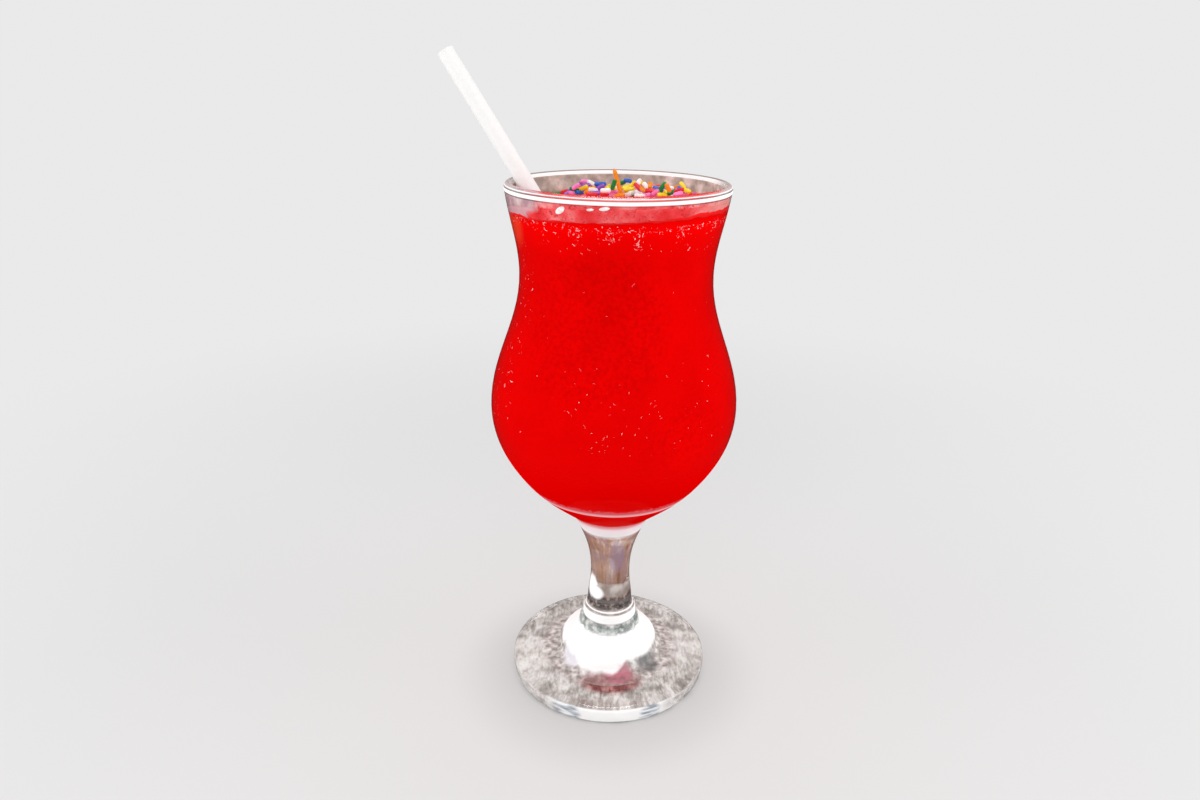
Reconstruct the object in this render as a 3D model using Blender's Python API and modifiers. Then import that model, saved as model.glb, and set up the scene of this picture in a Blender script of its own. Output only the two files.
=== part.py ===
"""A strawberry daiquiri in a footed, curved cocktail glass, with its straw and coloured sprinkles.

Metres, +Z up. The origin is on the glass's axis, on the flat underside of its foot. The front of
the glass faces -Y, and the straw leans out towards -X. Sizes are named in millimetres.
"""

import math
import random

import bmesh
import bpy
from mathutils import Vector
from mathutils.geometry import interpolate_bezier

MM = 0.001
GAP = 0.3  # clear space between two pieces that touch
CLOSE = 0.01  # lengths nearer than this count as equal

# Outlines of turned pieces are runs of knots: radius, height and the way the line heads there, in
# degrees (0 outwards, -90 straight down). Between two knots it is one smooth curve.
BOWL_AND_STEM = (
    (36.9, 193.5, 0),  # top of the rounded rim
    (38.25, 191.6, -93),
    (38.0, 190.2, -98),
    (33.6, 162.9, -90),  # waist
    (44.6, 114.6, -90),  # belly
    (34.4, 88.0, -127),
    (17.4, 72.0, -141),
    (11.3, 62.0, -113),
    (7.6, 44.0, -90),  # narrowest part of the stem
    (8.7, 30.0, -90),
)
KNUCKLE_AND_FOOT = (
    (10.4, 27.6, -88),
    (10.5, 24.4, -84),
    (11.8, 22.2, -88),
    (12.4, 19.9, -48),
    (17.6, 15.6, -52),  # dome over the middle of the foot
    (19.8, 10.4, -78),
    (22.6, 8.5, -10),
    (36.8, 7.4, -8),
    (38.7, 5.4, -92),  # rounded edge of the foot
    (38.2, 1.4, -98),
    (36.8, 0.0, 180),
)
INSIDE = (
    (0.0, 72.0, 0),  # bottom of the bowl, over solid glass
    (14.6, 76.2, 36),
    (31.4, 88.0, 53),
    (42.2, 114.6, 90),
    (31.3, 162.9, 90),
    (35.5, 190.2, 82),
    (35.55, 191.6, 88),
    (36.9, 193.5, 0),
)
HANDLE = 0.36  # length of a curve's handles, as a share of the distance between its knots
LONGEST_STEP = 9.0
LEAST_STEP = 2.0
WIDEST_TURN = 32.0  # degrees from one step to the next
AROUND = 48  # flat sides round the glass and what fills it

DRINK_LEVEL = 184.35  # mean height where the red drink ends and the froth starts
LEVEL_SWING = 0.75  # its edge is this much higher at the front and back, and lower at the sides
LEVEL_REACH = 35.0  # inner radius of the glass at that height
DRINK_RINGS = 4

FROTH_LEVEL = 187.4
FROTH_RISE_TO_FRONT = 0.062  # rise for each unit towards -Y
FROTH_RISE_TO_RIGHT = 0.02
LEAST_FROTH = 1.2
MOUND_CENTRE = (5.0, 2.0)
MOUND_HEIGHT = 3.8
MOUND_RADIUS = 20.0
STRAW_DIP = 1.2  # the froth thins out round the straw
STRAW_DIP_RADIUS = 13.0
TOP_RINGS = 7

STRAW_RADIUS = 2.9
STRAW_WALL = 0.4
STRAW_SIDES = 24
STRAW_AT_RIM = (-32.0, 3.3, 193.5)  # where its axis passes the height of the rim
STRAW_LEAN = 33.7  # degrees from upright
STRAW_TURN = 15.0  # degrees that its lean turns from -X towards the back
STRAW_ABOVE_RIM = 48.0
STRAW_BELOW_RIM = 118.0
PASSAGE_TOP = 5.0  # how far above the rim the cut for the straw begins

SPRINKLE_COUNT = 84
SPRINKLE_RADIUS = 0.74
SPRINKLE_SIDES = 8
SPRINKLE_LENGTHS = (3.2, 5.0)
SPRINKLE_SPREAD = 22.5  # radius of the patch that they cover
SPRINKLE_LIFT = (0.3, 0.8)  # how far the axis of one lies above the froth
LONG_SPRINKLE_BASE = (1.3, -14.0)
LONG_SPRINKLE_SUNK = 1.5
LONG_SPRINKLE_LENGTH = 10.1
LONG_SPRINKLE_LEAN = 17.0  # degrees towards -X
SPIRAL_WANDER = 0.15  # radians that a sprinkle strays from the spiral
SPRINKLE_SEED = 11

for old in list(bpy.data.objects):
    bpy.data.objects.remove(old, do_unlink=True)


def new_collection(name):
    made = bpy.data.collections.new(name)
    bpy.context.scene.collection.children.link(made)
    return made


PARTS = new_collection("strawberry_daiquiri")
CUTTERS = new_collection("cutters")
LOOSE_SPRINKLES = new_collection("loose_sprinkles")


def add_object(name, mesh, collection):
    made = bpy.data.objects.new(name, mesh)
    collection.objects.link(made)
    return made


def dress(ob, colour, roughness, transmission=0.0):
    """Gives the object a material of its own in a plain finish."""
    finish = bpy.data.materials.new(ob.name)
    finish.use_nodes = True
    shader = finish.node_tree.nodes["Principled BSDF"]
    shader.inputs["Base Color"].default_value = (*colour, 1)
    shader.inputs["Roughness"].default_value = roughness
    shader.inputs["Transmission Weight"].default_value = transmission
    ob.data.materials.clear()
    ob.data.materials.append(finish)


def bake_modifiers(ob):
    """Replaces the object's mesh by what its modifiers make of it."""
    view = bpy.context.evaluated_depsgraph_get()
    mesh = bpy.data.meshes.new_from_object(ob.evaluated_get(view))
    ob.modifiers.clear()
    ob.data = mesh


def outline(knots):
    """Points (radius, height) along one run of knots."""
    points = [Vector(knots[0][:2])]
    for start, end in zip(knots, knots[1:]):
        a, b = Vector(start[:2]), Vector(end[:2])
        span = (b - a).length
        way_out, way_in = (
            Vector((math.cos(math.radians(k[2])), math.sin(math.radians(k[2])))) for k in (start, end)
        )
        turn = math.degrees(way_out.angle(b - a) + way_in.angle(b - a))
        steps = max(1, math.ceil(span / LONGEST_STEP), math.ceil(turn / WIDEST_TURN))
        reach = span * HANDLE
        points += interpolate_bezier(a, a + way_out * reach, b - way_in * reach, b, steps + 1)[1:]
    return [Vector((p.x, p.y)) for p in points]


INSIDE_LINE = outline(INSIDE)


def inner_radius(height):
    """Inner radius of the bowl at a height, along the straight steps of its inside line."""
    for low, high in zip(INSIDE_LINE, INSIDE_LINE[1:]):
        if low.y <= height <= high.y:
            return low.x + (high.x - low.x) * (height - low.y) / (high.y - low.y)
    raise ValueError(height)


def turned(name, points, sides, collection, closed=False):
    """A solid turned round Z from (radius, height) points that run down its outer side."""
    mesh = bpy.data.meshes.new(name)
    loop = [(i, i + 1) for i in range(len(points) - 1)]
    if closed:
        loop.append((len(points) - 1, 0))
    mesh.from_pydata([(p[0] * MM, 0, p[1] * MM) for p in points], loop, [])
    ob = add_object(name, mesh, collection)
    screw = ob.modifiers.new("turn", "SCREW")
    screw.axis = "Z"
    screw.angle = math.tau
    screw.steps = sides
    screw.render_steps = sides
    screw.use_merge_vertices = True
    screw.merge_threshold = 0.00001
    screw.use_smooth_shade = True
    bake_modifiers(ob)
    return ob


def make_glass():
    """Bowl, stem, knuckle and foot, one piece of pressed glass."""
    foot = outline(KNUCKLE_AND_FOOT)
    line = INSIDE_LINE[:-1] + outline(BOWL_AND_STEM) + foot + [Vector((0.0, 0.0))]
    glass = turned("glass", line, AROUND, PARTS)
    dress(glass, (0.93, 0.95, 0.95), 0.03, transmission=1.0)
    return glass


def drink_top(x, y):
    """Height where the red drink ends at a place on the plan, and the froth begins."""
    return DRINK_LEVEL + LEVEL_SWING * (y * y - x * x) / LEVEL_REACH**2


def froth_top(x, y):
    """Height of the froth's own top, with the mound that carries the sprinkles."""
    height = FROTH_LEVEL - FROTH_RISE_TO_FRONT * y + FROTH_RISE_TO_RIGHT * x
    from_mound = math.hypot(x - MOUND_CENTRE[0], y - MOUND_CENTRE[1])
    height += MOUND_HEIGHT * math.exp(-((from_mound / MOUND_RADIUS) ** 4))
    from_straw = math.hypot(x - STRAW_AT_RIM[0], y - STRAW_AT_RIM[1])
    height -= STRAW_DIP * math.exp(-((from_straw / STRAW_DIP_RADIUS) ** 2))
    return max(height, drink_top(x, y) + LEAST_FROTH)


def fit_in_bowl(vertices, height_at):
    """Lifts each vertex to height_at its place, and keeps the outermost ones just clear of the wall."""
    widest = max(v.co.xy.length for v in vertices) / MM
    for v in vertices:
        flat = v.co.xy / MM
        height = height_at(*flat)
        if flat.length > widest - CLOSE:
            flat *= (inner_radius(height) - GAP) / flat.length
            height = height_at(*flat)
        v.co = Vector((flat.x, flat.y, height)) * MM


def pulled_in(points, distance):
    """The line moved inwards, square to its own run, by a distance."""
    moved = []
    for i, point in enumerate(points):
        before = points[max(i - 1, 0)]
        after = points[min(i + 1, len(points) - 1)]
        along = (after - before).normalized()
        moved.append(point + Vector((-along.y, along.x)) * distance)
    moved[0].x = 0.0
    return moved


def make_daiquiri():
    """The red drink, solid up to the froth and just clear of the glass."""
    lowest_edge = DRINK_LEVEL - LEVEL_SWING
    wall = [p for p in pulled_in(INSIDE_LINE, GAP) if p.y < lowest_edge - LEAST_STEP]
    edge = inner_radius(DRINK_LEVEL) - GAP
    rings = [Vector((edge * i / DRINK_RINGS, DRINK_LEVEL)) for i in range(DRINK_RINGS + 1)]
    daiquiri = turned("daiquiri", rings + wall[::-1], AROUND, PARTS)
    fit_in_bowl([v for v in daiquiri.data.vertices if v.co.z / MM > DRINK_LEVEL - CLOSE], drink_top)
    dress(daiquiri, (0.80, 0.004, 0.006), 0.25)
    return daiquiri


def make_froth():
    """The pale froth on the drink, thick at the front and heaped in the middle."""
    edge = inner_radius(FROTH_LEVEL) - GAP
    upper = [Vector((edge * i / TOP_RINGS, FROTH_LEVEL)) for i in range(TOP_RINGS + 1)]
    lower = [Vector((edge * i / DRINK_RINGS, DRINK_LEVEL)) for i in range(DRINK_RINGS, -1, -1)]
    froth = turned("froth", upper + lower, AROUND, PARTS)
    middle = (FROTH_LEVEL + DRINK_LEVEL) / 2 * MM
    top = [v for v in froth.data.vertices if v.co.z > middle]
    bottom = [v for v in froth.data.vertices if v.co.z < middle]
    fit_in_bowl(top, froth_top)
    fit_in_bowl(bottom, lambda x, y: drink_top(x, y) + GAP)
    return froth


def lay_sprinkle(name, place, length, way):
    """One sugar sprinkle, a short rod whose middle is at place and which lies along way."""
    mesh = bpy.data.meshes.new(name)
    shape = bmesh.new()
    bmesh.ops.create_cone(
        shape,
        cap_ends=True,
        segments=SPRINKLE_SIDES,
        radius1=SPRINKLE_RADIUS * MM,
        radius2=SPRINKLE_RADIUS * MM,
        depth=length * MM,
    )
    shape.to_mesh(mesh)
    shape.free()
    ob = add_object(name, mesh, LOOSE_SPRINKLES)
    ob.location = Vector(place) * MM
    ob.rotation_euler = Vector(way).to_track_quat("Z", "Y").to_euler()
    return ob


def scatter_sprinkles():
    """Sprinkles spread evenly over the mound in a spiral, the longest first, lying every way."""
    draw = random.Random(SPRINKLE_SEED)
    lengths = sorted((draw.uniform(*SPRINKLE_LENGTHS) for _ in range(SPRINKLE_COUNT)), reverse=True)
    golden_turn = math.pi * (3 - math.sqrt(5))
    order = list(range(SPRINKLE_COUNT))
    draw.shuffle(order)
    for i, (length, step) in enumerate(zip(lengths, order)):
        out = SPRINKLE_SPREAD * math.sqrt((step + 0.5) / SPRINKLE_COUNT)
        turn = step * golden_turn + draw.uniform(-SPIRAL_WANDER, SPIRAL_WANDER)
        x = MOUND_CENTRE[0] + out * math.cos(turn)
        y = MOUND_CENTRE[1] + out * math.sin(turn)
        heading = draw.uniform(0, math.tau)
        ahead = Vector((math.cos(heading), math.sin(heading))) * length / 2
        one_end = froth_top(x + ahead.x, y + ahead.y)
        other_end = froth_top(x - ahead.x, y - ahead.y)
        height = (one_end + other_end) / 2 + draw.uniform(*SPRINKLE_LIFT)
        way = (2 * ahead.x, 2 * ahead.y, one_end - other_end)
        lay_sprinkle(f"sprinkle_{i}", (x, y, height), length, way)


def stand_long_sprinkle():
    """The one long sprinkle that stands upright in the froth near the front."""
    lean = math.radians(LONG_SPRINKLE_LEAN)
    way = Vector((-math.sin(lean), 0, math.cos(lean)))
    foot = Vector((*LONG_SPRINKLE_BASE, froth_top(*LONG_SPRINKLE_BASE) - LONG_SPRINKLE_SUNK))
    middle = foot + way * LONG_SPRINKLE_LENGTH / 2
    lay_sprinkle("sprinkle_long", middle, LONG_SPRINKLE_LENGTH, way)


def keep_main_shell(ob):
    """Drops the small shells that a union leaves: sealed hollows between pieces, and scraps."""
    shape = bmesh.new()
    shape.from_mesh(ob.data)
    left = set(shape.verts)
    shells = []
    while left:
        shell = set()
        edge_of_search = [next(iter(left))]
        while edge_of_search:
            vertex = edge_of_search.pop()
            if vertex in shell:
                continue
            shell.add(vertex)
            edge_of_search += [e.other_vert(vertex) for e in vertex.link_edges]
        shells.append(shell)
        left -= shell
    shells.sort(key=len)
    scraps = [v for shell in shells[:-1] for v in shell]
    bmesh.ops.delete(shape, geom=scraps, context="VERTS")
    shape.to_mesh(ob.data)
    shape.free()


def fuse_sprinkles(froth):
    """Joins the sprinkles to the froth that they lie on, as one solid."""
    union = froth.modifiers.new("fuse", "BOOLEAN")
    union.operation = "UNION"
    union.operand_type = "COLLECTION"
    union.collection = LOOSE_SPRINKLES
    union.solver = "EXACT"
    bake_modifiers(froth)
    keep_main_shell(froth)
    for ob in list(LOOSE_SPRINKLES.objects):
        bpy.data.objects.remove(ob, do_unlink=True)
    bpy.data.collections.remove(LOOSE_SPRINKLES)


def straw_way():
    """Unit vector up the straw."""
    lean, turn = math.radians(STRAW_LEAN), math.radians(STRAW_TURN)
    return Vector((-math.sin(lean) * math.cos(turn), math.sin(lean) * math.sin(turn), math.cos(lean)))


def along_straw(ob):
    """Puts an object that was made upright, with its origin level with the rim, on the straw's axis."""
    ob.location = Vector(STRAW_AT_RIM) * MM
    ob.rotation_euler = straw_way().to_track_quat("Z", "Y").to_euler()


def make_straw():
    """A plain hollow straw that leans on the inner edge of the rim and reaches down into the bowl."""
    bore = STRAW_RADIUS - STRAW_WALL
    section = (
        (bore, STRAW_ABOVE_RIM),
        (STRAW_RADIUS, STRAW_ABOVE_RIM),
        (STRAW_RADIUS, -STRAW_BELOW_RIM),
        (bore, -STRAW_BELOW_RIM),
    )
    straw = turned("straw", section, STRAW_SIDES, PARTS, closed=True)
    along_straw(straw)
    dress(straw, (0.92, 0.92, 0.92), 0.4)
    return straw


def cut_for_straw(*pieces):
    """Cuts the straw's passage through the pieces, one gap wider than the straw all round."""
    low = -STRAW_BELOW_RIM - GAP
    wide = STRAW_RADIUS + GAP
    section = ((0, PASSAGE_TOP), (wide, PASSAGE_TOP), (wide, low), (0, low))
    cutter = turned("straw_passage", section, STRAW_SIDES, CUTTERS)
    along_straw(cutter)
    cutter.hide_render = True
    cutter.display_type = "WIRE"
    for piece in pieces:
        cut = piece.modifiers.new("passage", "BOOLEAN")
        cut.operation = "DIFFERENCE"
        cut.object = cutter
        cut.solver = "EXACT"


make_glass()
daiquiri = make_daiquiri()
froth = make_froth()
scatter_sprinkles()
stand_long_sprinkle()
fuse_sprinkles(froth)
dress(froth, (0.95, 0.24, 0.25), 0.6)
make_straw()
cut_for_straw(daiquiri, froth)
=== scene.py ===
"""Looks of a strawberry daiquiri in a footed cocktail glass, with its straw and sugar sprinkles."""

import math
import random

import bpy
from mathutils import Matrix, Vector, noise
from mathutils.geometry import interpolate_bezier


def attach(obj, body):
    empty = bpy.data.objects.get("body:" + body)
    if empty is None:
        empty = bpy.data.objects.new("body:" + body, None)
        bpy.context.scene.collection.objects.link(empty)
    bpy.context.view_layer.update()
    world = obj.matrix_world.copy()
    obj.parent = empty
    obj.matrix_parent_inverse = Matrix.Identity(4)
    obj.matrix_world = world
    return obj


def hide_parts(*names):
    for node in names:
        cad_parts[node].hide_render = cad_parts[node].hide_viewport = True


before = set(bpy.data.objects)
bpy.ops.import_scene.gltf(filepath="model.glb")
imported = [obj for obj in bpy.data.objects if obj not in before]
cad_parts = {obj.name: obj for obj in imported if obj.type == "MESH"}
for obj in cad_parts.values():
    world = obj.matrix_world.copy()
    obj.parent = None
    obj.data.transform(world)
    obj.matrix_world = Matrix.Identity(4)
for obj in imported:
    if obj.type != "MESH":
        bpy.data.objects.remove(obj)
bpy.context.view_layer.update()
bpy.ops.object.select_all(action="DESELECT")
bpy.context.view_layer.objects.active = None

MM = 0.001

# The glass: bowl, stem, knuckle and foot of clear soda-lime glass, pressed in a mould as one piece
# and fire polished, so its rim is a rounded bead. It is turned from its outline, radius and height
# in millimetres with the heading of the line there in degrees (0 outwards, -90 straight down).
INSIDE = (
    (0.0, 72.0, 0),
    (14.6, 76.2, 36),
    (31.4, 88.0, 53),
    (42.2, 114.6, 90),
    (31.3, 162.9, 90),
    (35.5, 190.2, 82),
    (35.55, 191.6, 88),
    (36.9, 193.5, 0),
)
BOWL_AND_STEM = (
    (36.9, 193.5, 0),
    (38.25, 191.6, -93),
    (38.0, 190.2, -98),
    (33.6, 162.9, -90),
    (44.6, 114.6, -90),
    (34.4, 88.0, -127),
    (17.4, 72.0, -141),
    (11.3, 62.0, -113),
    (7.6, 44.0, -90),
    (8.7, 30.0, -90),
)
KNUCKLE_AND_FOOT = (
    (10.4, 27.6, -88),
    (10.5, 24.4, -84),
    (11.8, 22.2, -88),
    (12.4, 19.9, -48),
    (17.6, 15.6, -52),
    (19.8, 10.4, -78),
    (22.6, 8.5, -10),
    (36.8, 7.4, -8),
    (38.7, 5.4, -92),
    (38.2, 1.4, -98),
    (36.8, 0.0, 180),
)
UNDERSIDE = (
    (36.8, 0.0, 180),
    (29.0, 0.0, 180),
    (26.0, 0.7, 175),
    (0.0, 1.0, 180),
)
UNDERSIDE_TOP = 1.05
HANDLE = 0.36
LATHE_STEPS = 160

# Where light, shade and reflections are painted on the glass: heights in millimetres, and for the rim's
# highlights the radius outside which they lie. A pair that starts or ends a layer is a height where it is 0
# and where it is 1.
# The rim's painted highlights and painted shade, and the far side's painted highlight and reflection:
RIM_HIGHLIGHTS = ((190.9, 192.0, 37.2), (192.6, 192.9, 36.8))
RIM_SHADES = ((190.45, 190.75), (192.15, 192.4))
FAR_RIM_HIGHLIGHT = (191.4, 193.2)
FAR_RIM_REFLECTION = (193.15, 193.25)
BEAD_TOP = (191.9, 192.3)
DRINK_STARTS = (71.4, 72.2)
DRINK_ENDS = (108.0, 96.0)
# A painted pale band of reflection round the lower bowl:
REFLECTION_BAND_STARTS = (82.4, 82.8)
REFLECTION_BAND_ENDS = (84.1, 83.2)
REFLECTION_BAND_SHADES = (82.5, 86.5)
# Painted light over the bowl's solid bottom, and the stem's painted reflections of the room:
LENS = (64.4, 71.4)
STEM = (35.0, 64.6)
# Painted reflection and painted shade on the front of the neck:
NECK_REFLECTED_CLOUD = (36.4, 41.6)
SHADOWED_NECK = (29.6, 35.5)
# Painted highlights round the knuckle:
THIN_RING_HIGHLIGHT = (28.75, 29.25)
KNUCKLE_RING_HIGHLIGHT = (24.4, 28.0)
# Painted reflection in the groove, painted highlight on the dome, and painted reflections on the flank and
# the foot's side:
GROOVE_STARTS = (21.6, 22.5)
GROOVE_ENDS = (24.5, 23.9)
DOME_HIGHLIGHT_STARTS = (14.4, 17.0)
DOME_HIGHLIGHT_ENDS = (23.0, 22.6)
DOME_FLANK = (6.9, 14.5)
FOOT_SIDE = (0.3, 6.4)
FOOT_SIDE_RADIUS = (36.6, 37.0)

# Grains of the painted reflections that streak and mottle the glass and its underside, in millimetres.
STEM_STREAK = (2.2, 2.2, 30.0)
SIDE_STREAK = (7.0, 7.0, 1.4)
BLOTS, WIDE_BLOTS, TORN_EDGE = 2.2, 8.0, 1.3
STONE_GRAIN = (1.3, 3.4, 1.3)
STONE_CLOUDS = 7.0

# Soft spots of painted light, shade and reflection, each with its middle and its reach.
LILAC_REFLECTION = (2.4, -8.5, 54.0), (3.6, 9.0, 10.0)
NECK_GLINTS = ((-7.4, -4.4, 38.6), (3.4, 4.2, 6.0)), ((-5.6, -6.2, 36.4), (4.4, 3.6, 3.4))
DOME_HIGHLIGHT_TONGUE = (-4.5, -19.0, 11.5), (12.0, 9.0, 7.0)
FLANK_LIGHT = (-14.5, -13.0, 11.5), (6.5, 6.0, 4.5)
FLANK_SHADE = (15.5, -14.5, 10.5), (6.5, 6.0, 4.5)
FLANK_WINE_REFLECTION = (1.0, -25.0, 8.5), (15.0, 10.0, 6.0)
FLANK_ROSE_REFLECTION = (3.5, -21.0, 10.0), (7.0, 6.5, 5.0)
SIDE_GLINTS = ((-16.5, -34.5, 3.0), (8.0, 6.0, 6.0)), ((15.5, -35.0, 2.5), (5.5, 6.0, 6.0))
# Painted on the underside: paler reflections at the sides, painted light under the knuckle, wine and rose
# reflections in front:
PALE_BASE_REFLECTIONS = ((-33.0, -3.0, 0.0), (13.0, 15.0, 9.0)), ((31.0, 4.0, 0.0), (10.0, 14.0, 9.0))
BASE_PAINTED_LIGHT = (0.0, 1.5, 0.0), (17.5, 17.0, 9.0)
BASE_WINE_REFLECTION = (0.5, -20.0, 0.0), (14.0, 8.0, 9.0)
BASE_ROSE_REFLECTION = (1.5, -15.0, 0.0), (5.5, 5.0, 9.0)


def heading(degrees):
    return Vector((math.cos(math.radians(degrees)), math.sin(math.radians(degrees))))


def draw_outline(name, runs):
    """The outline as a mesh line: each run of knots is a smooth curve, and runs meet at a corner."""
    knots = [knot for run in runs for knot in run]
    bpy.ops.curve.primitive_bezier_curve_add()
    line = bpy.context.object
    line.name = name
    line.data.resolution_u = 14
    spline = line.data.splines[0]
    spline.bezier_points.add(len(knots) - len(spline.bezier_points))
    inner_ends = {sum(len(r) for r in runs[: i + 1]) - 1 for i in range(len(runs) - 1)}
    for i, (knot, point) in enumerate(zip(knots, spline.bezier_points)):
        here = Vector(knot[:2])
        way = heading(knot[2])
        back = (here - Vector(knots[max(i - 1, 0)][:2])).length * HANDLE
        ahead = (Vector(knots[min(i + 1, len(knots) - 1)][:2]) - here).length * HANDLE
        if i in inner_ends:
            ahead = 0
        if i - 1 in inner_ends:
            back = 0
        point.handle_left_type = point.handle_right_type = "FREE"
        places = (("co", here), ("handle_left", here - way * back), ("handle_right", here + way * ahead))
        for attribute, flat in places:
            setattr(point, attribute, (flat.x * MM, 0, flat.y * MM))
    bpy.ops.object.convert(target="MESH")
    return bpy.context.object


def spin_solid(line, steps):
    """Spins the line round the glass's axis into a closed shell that faces outwards."""
    bpy.ops.object.mode_set(mode="EDIT")
    bpy.ops.mesh.select_all(action="SELECT")
    bpy.ops.mesh.spin(steps=steps, angle=math.tau, center=(0, 0, 0), axis=(0, 0, 1))
    bpy.ops.mesh.select_all(action="SELECT")
    bpy.ops.mesh.remove_doubles(threshold=0.00001)
    bpy.ops.mesh.dissolve_degenerate(threshold=0.000001)
    bpy.ops.mesh.normals_make_consistent(inside=False)
    bpy.ops.mesh.select_all(action="DESELECT")
    bpy.ops.object.mode_set(mode="OBJECT")
    bpy.ops.object.shade_smooth()
    bpy.ops.object.select_all(action="DESELECT")
    return line


def linear(code):
    """The linear colour of an sRGB hex value."""
    parts = [int(code[i : i + 2], 16) / 255 for i in (1, 3, 5)]
    return (*[c / 12.92 if c <= 0.04045 else ((c + 0.055) / 1.055) ** 2.4 for c in parts], 1.0)


def add_node(kind, inputs=(), output=0, tree=None, **settings):
    """Adds a node with its settings and returns one of its outputs. Its inputs, in order or by name,
    are sockets, numbers or sRGB hex values. Without a tree it goes where those sockets are."""
    pairs = list(inputs.items() if isinstance(inputs, dict) else enumerate(inputs))
    sockets = [value for _, value in pairs if isinstance(value, bpy.types.NodeSocket)]
    tree = tree or sockets[0].id_data
    node = tree.nodes.new("ShaderNode" + kind)
    for name, value in settings.items():
        setattr(node, name, value)
    for name, value in pairs:
        if value in sockets:
            tree.links.new(value, node.inputs[name])
        else:
            node.inputs[name].default_value = linear(value) if isinstance(value, str) else value
    return node.outputs[output]


def new_material(name):
    """An empty node material, and the place on what wears it in millimetres, whole and by axis."""
    made = bpy.data.materials.new(name)
    made.use_nodes = True
    made.node_tree.nodes.clear()
    metres = add_node("TexCoord", output="Object", tree=made.node_tree)
    place = add_node("VectorMath", {0: metres, "Scale": 1 / MM}, operation="SCALE")
    return made, place, add_node("SeparateXYZ", (place,)).node.outputs


def surface(made, shader):
    """The material, with this shader as its surface."""
    out = made.node_tree.nodes.new("ShaderNodeOutputMaterial")
    made.node_tree.links.new(shader, out.inputs["Surface"])
    return made


def blend_colours(source, *stops):
    """A colour ramp driven by source, through stops of (position, sRGB hex)."""
    colour = add_node("ValToRGB", (source,))
    shades = colour.node.color_ramp.elements
    while len(shades) < len(stops):
        shades.new(0.5)
    for shade, (position, code) in zip(shades, stops):
        shade.position = position
        shade.color = linear(code)
    return colour


def ease(source, start, end, low=0.0, high=1.0):
    """A smooth step of source from start to end."""
    return add_node("MapRange", (source, start, end, low, high), interpolation_type="SMOOTHSTEP")


def times(one, other):
    return add_node("Math", (one, other), operation="MULTIPLY")


def plus(one, other):
    return add_node("Math", (one, other), operation="ADD")


def mix(share, first, second, how="MIX"):
    return add_node("MixRGB", (share, first, second), blend_type=how)


def ragged(source, grains, reach):
    """The source shifted by grains of noise, for an edge that wanders."""
    return plus(source, times(grains, reach))


def band(source, low, high, soft):
    """1 between two values of source, easing to 0 over a soft distance outside them."""
    return times(ease(source, low - soft, low + soft), ease(source, high + soft, high - soft))


def spot(place, middle, reach):
    """1 in the middle of a soft ellipsoid, and 0 outside it."""
    offset = add_node("VectorMath", (place, middle), operation="SUBTRACT")
    scaled = add_node("VectorMath", (offset, reach), operation="DIVIDE")
    return ease(add_node("VectorMath", (scaled,), "Value", operation="LENGTH"), 1.0, 0.6)


def larger(one, other):
    return add_node("Math", (one, other), operation="MAXIMUM")


def distance_from_axis(place):
    flat = add_node("VectorMath", (place, (1, 1, 0)), operation="MULTIPLY")
    return add_node("VectorMath", (flat,), "Value", operation="LENGTH")


def stretched_noise(place, sizes, **inputs):
    """Noise whose grains have a size in millimetres along each axis."""
    scaled = add_node("Mapping", {"Vector": place, "Scale": [1 / size for size in sizes]})
    return add_node("TexNoise", {"Vector": scaled, "Scale": 1.0, **inputs})


def lay_over(share, colour, cover, tone):
    """A layer of one tone over what is there already, as its new share and colour."""
    rest = add_node("Math", (1.0, cover), operation="SUBTRACT")
    total = add_node("Math", (share, rest, cover), operation="MULTIPLY_ADD")
    return total, mix(add_node("Math", (cover, total), operation="DIVIDE"), colour, tone)


def rim_layers(height, from_axis, to_side, back):
    """The bead of the rim in painted light and shade: two painted highlights with painted shade between them
    in front, painted grey reflections at its ends, and behind it the far side's painted highlight under a
    painted warm grey reflection along its edge."""
    outside = [ease(from_axis, radius - 0.1, radius + 0.1) for *_, radius in RIM_HIGHLIGHTS]
    lines = [times(band(height, low, high, 0.1), outer) for (low, high, _), outer in zip(RIM_HIGHLIGHTS, outside)]
    shades = larger(*[band(height, *heights, 0.06) for heights in RIM_SHADES])
    shaded = times(ease(to_side, 10, 32, 0.25, 0.75), outside[0])
    inner_face = times(ease(from_axis, 36.8, 36.5), ease(back, 0, 14))
    return (
        # Painted grey reflections at the ends of the bead.
        (times(ease(height, *BEAD_TOP), ease(to_side, 30, 34.5)), 0.75, "#C4BCBA"),
        # Painted shade between the two highlights at the front.
        (times(shades, shaded), 1.0, "#4C4040"),
        # The two painted highlights along the bead.
        (lines[0], 0.95, "#FFFFFF"),
        (lines[1], 0.8, "#FFFFFF"),
        # The far side's painted highlight, and a painted warm grey reflection along its top edge.
        (times(band(height, *FAR_RIM_HIGHLIGHT, 0.15), inner_face), 0.9, "#FFFFFF"),
        (times(ease(height, *FAR_RIM_REFLECTION), ease(back, 2, 8)), 0.85, "#9A8C86"),
    )


def bowl_layers(height, torn):
    """Low on the bowl the glass takes the drink's red, with a painted pale ragged band of reflection round
    it, and over its solid bottom, a lens, a painted band of bright light."""
    # A painted pale band of reflection round the bowl, with a ragged upper edge.
    reflection_band = times(ease(height, *REFLECTION_BAND_STARTS), ease(ragged(height, torn, -5.0), *REFLECTION_BAND_ENDS))
    reflection_band_tone = blend_colours(ease(height, *REFLECTION_BAND_SHADES), (0.1, "#FBC4CA"), (0.6, "#E05C66"))
    # Painted bright light over the solid bottom.
    lens_painted_light = blend_colours(ease(height, *LENS), (0.1, "#F4EEF2"), (0.65, "#FBE6EA"), (0.95, "#EE9AA2"))
    return (
        (times(ease(height, *DRINK_STARTS), ease(height, *DRINK_ENDS)), 0.95, "#E20000"),
        (band(height, *LENS, 0.5), 0.85, lens_painted_light),
        (reflection_band, 0.85, reflection_band_tone),
    )


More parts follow.
